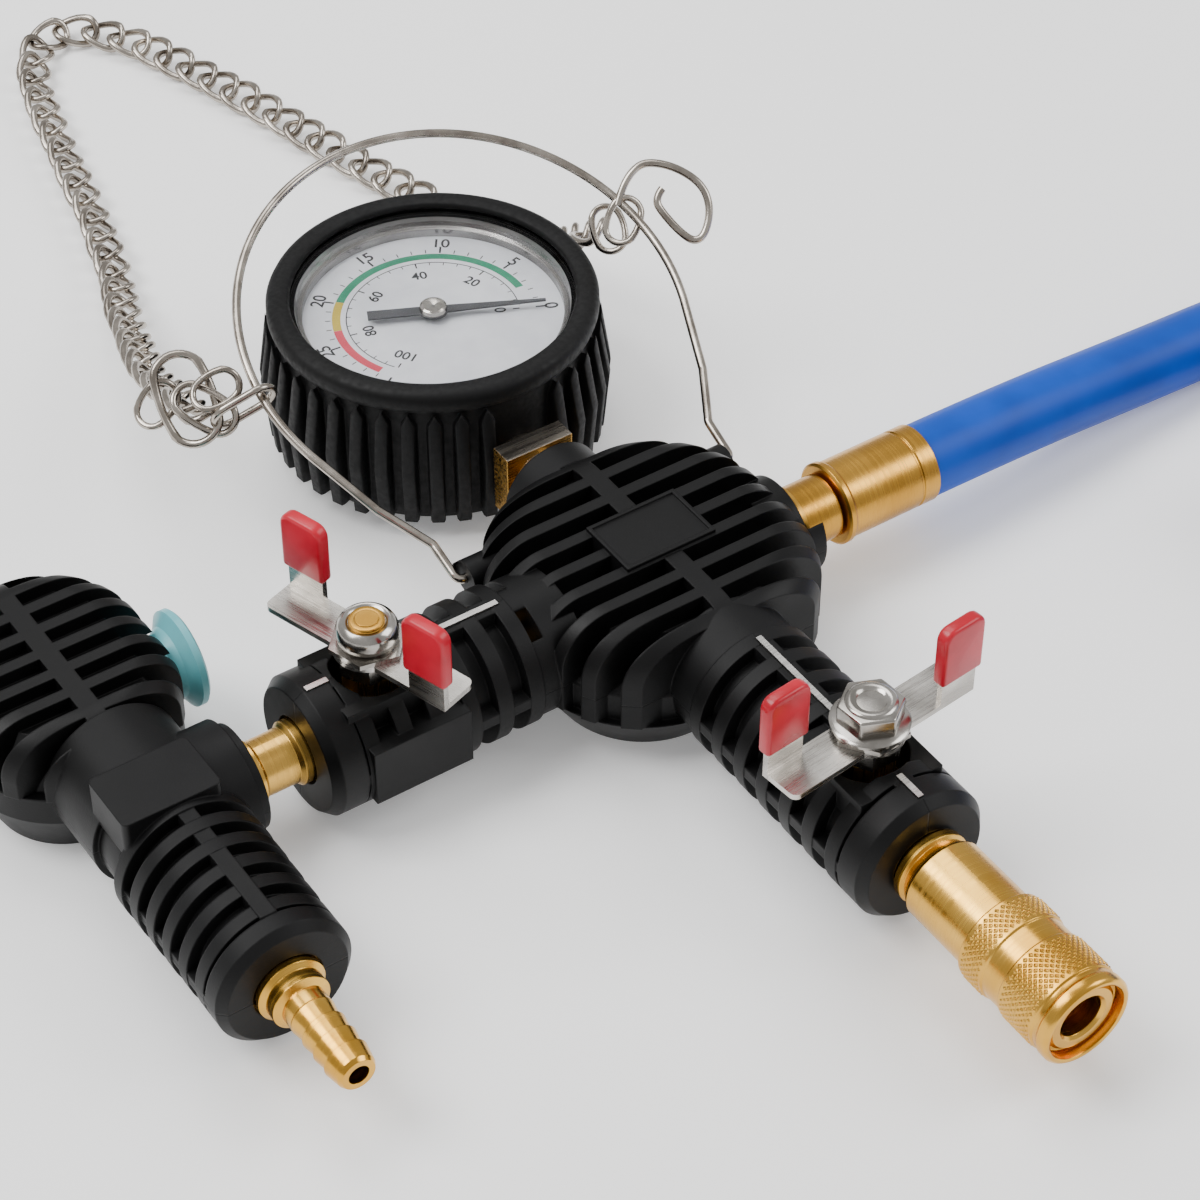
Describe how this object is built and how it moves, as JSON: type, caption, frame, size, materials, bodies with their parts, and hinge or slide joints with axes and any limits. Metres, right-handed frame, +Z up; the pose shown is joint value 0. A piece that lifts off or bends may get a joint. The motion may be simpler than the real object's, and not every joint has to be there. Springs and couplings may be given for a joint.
{
  "type": "coolant vacuum refill manifold",
  "caption": "Ribbed four-way vacuum and refill manifold with gauge, two butterfly ball valves, quick coupler, venturi block with hose barb, wire bail with chain, and a blue hose.",
  "frame": {"origin": "on the flat underside of the centre block, under the crossing of the four port axes", "axes": "+X along the hose port, -Y along the quick coupler port, +Y along the gauge port, +Z up from the surface it lies on"},
  "size_m": [0.434, 0.4261, 0.0556],
  "materials": {
    "black_nylon": "moulded matte black glass-filled nylon",
    "black_rubber": "soft moulded black rubber",
    "brass": "turned brass, lightly polished",
    "nickel": "nickel-plated, worn bright",
    "stainless": "stamped stainless sheet, brushed",
    "red_vinyl": "dipped red vinyl, satin",
    "blue_hose": "extruded blue rubber, matte",
    "case_steel": "spun steel",
    "lens": "clear flat glass",
    "dial_white": "white printed aluminium",
    "pointer_grey": "grey painted aluminium",
    "teal_plastic": "moulded teal plastic, satin",
    "seat_ptfe": "white PTFE"
  },
  "bodies": {
    "manifold": {"ball_seats": "seat_ptfe", "block_shell_bottom": "black_nylon", "block_shell_top": "black_nylon", "bourdon_tube": "brass", "brass_cross": "brass", "chain": "nickel", "coupler_balls": "stainless", "coupler_body": "brass", "gauge_bezel": "case_steel", "gauge_boot": "black_rubber", "gauge_case": "case_steel", "gauge_dial": "dial_white", "gauge_lens": "lens", "gauge_socket": "brass", "gland_nuts": "nickel", "hose": "blue_hose", "hose_barb": "brass", "hose_coil": "blue_hose", "hose_end_fitting": "brass", "hose_ferrule": "brass", "hose_tail": "brass", "left_sleeve_inner": "black_nylon", "left_sleeve_outer": "black_nylon", "left_valve_body": "brass", "link_nipple": "brass", "movement_frame": "brass", "poppet_spring": "stainless", "right_sleeve_inner": "black_nylon", "right_sleeve_outer": "black_nylon", "right_valve_body": "brass", "seam_strips": "stainless", "sleeve_spring": "stainless", "venturi_core": "brass", "venturi_shell_bottom": "black_nylon", "venturi_shell_top": "black_nylon"},
    "left_lever": {"left_ball": "stainless", "left_stem": "brass", "left_handle": "stainless", "left_grips": "red_vinyl", "left_lock_plate": "nickel", "left_handle_nut": "nickel"},
    "right_lever": {"right_ball": "stainless", "right_stem": "nickel", "right_handle": "stainless", "right_grips": "red_vinyl", "right_lock_plate": "nickel", "right_handle_nut": "nickel"},
    "pointer": {"gauge_pointer": "pointer_grey", "pinion_arbor": "stainless"},
    "sector": {"sector_gear": "brass"},
    "link": {"tube_link": "stainless"},
    "coupler_collar": {"coupler_sleeve": "brass"},
    "coupler_valve": {"coupler_poppet": "stainless"},
    "button": {"vent_button": "teal_plastic"},
    "bail": {"bail": "nickel"},
    "bail_ring": {"left_ring": "nickel"},
    "hook": {"right_hook": "nickel"}
  },
  "joints": [
    {"name": "left_valve_turn", "type": "hinge", "parent": "manifold", "child": "left_lever", "pos_m": [-0.062, 0, 0.0165], "axis": [0, 0, 1], "range_deg": [-18, 72]},
    {"name": "right_valve_turn", "type": "hinge", "parent": "manifold", "child": "right_lever", "pos_m": [0, -0.0676, 0.0165], "axis": [0, 0, 1], "range_deg": [-6, 84]},
    {"name": "sector_turn", "type": "hinge", "parent": "manifold", "child": "sector", "pos_m": [-0.00575, 0.06731, 0.02], "axis": [0, 0, -1], "range_deg": [0, 30]},
    {"name": "pointer_turn", "type": "hinge", "parent": "manifold", "child": "pointer", "pos_m": [0.001, 0.079, 0.02], "axis": [0, 0, 1], "range_deg": [0, 240]},
    {"name": "link_slide", "type": "slide", "parent": "manifold", "child": "link", "axis": [-0.342, 0.9397, 0], "range_m": [0, 0.00207]},
    {"name": "coupler_sleeve_slide", "type": "slide", "parent": "manifold", "child": "coupler_collar", "axis": [0, 1, 0], "range_m": [0, 0.0024], "stiffness_N_per_m": 1500, "springref_m": -0.001, "deforming": ["sleeve_spring"]},
    {"name": "coupler_valve_push", "type": "slide", "parent": "manifold", "child": "coupler_valve", "axis": [0, 1, 0], "range_m": [0, 0.002], "stiffness_N_per_m": 800, "springref_m": -0.0005, "deforming": ["poppet_spring"]},
    {"name": "vent_button_push", "type": "slide", "parent": "manifold", "child": "button", "axis": [-1, 0, 0], "range_m": [0, 0.0015], "stiffness_N_per_m": 1200, "springref_m": -0.0005},
    {"name": "bail_swing", "type": "hinge", "parent": "manifold", "child": "bail", "pos_m": [0, 0.018, 0.0205], "axis": [1, 0, 0], "range_deg": [-9, 100]},
    {"name": "bail_ring_swing", "type": "hinge", "parent": "bail", "child": "bail_ring", "pos_m": [-0.04567, 0.06655, 0.03914], "axis": [0.0486, 0.9325, 0.3579], "range_deg": [-25, 25]},
    {"name": "hook_swing", "type": "hinge", "parent": "bail", "child": "hook", "pos_m": [0.04468, 0.07355, 0.04182], "axis": [-0.2127, 0.9122, 0.3502], "range_deg": [-30, 30]}
  ],
  "couplings": [
    {"joint": "pointer_turn", "follows": "sector_turn", "ratio": 8},
    {"joint": "link_slide", "follows": "sector_turn", "m_per_rad": 0.0039525}
  ]
}
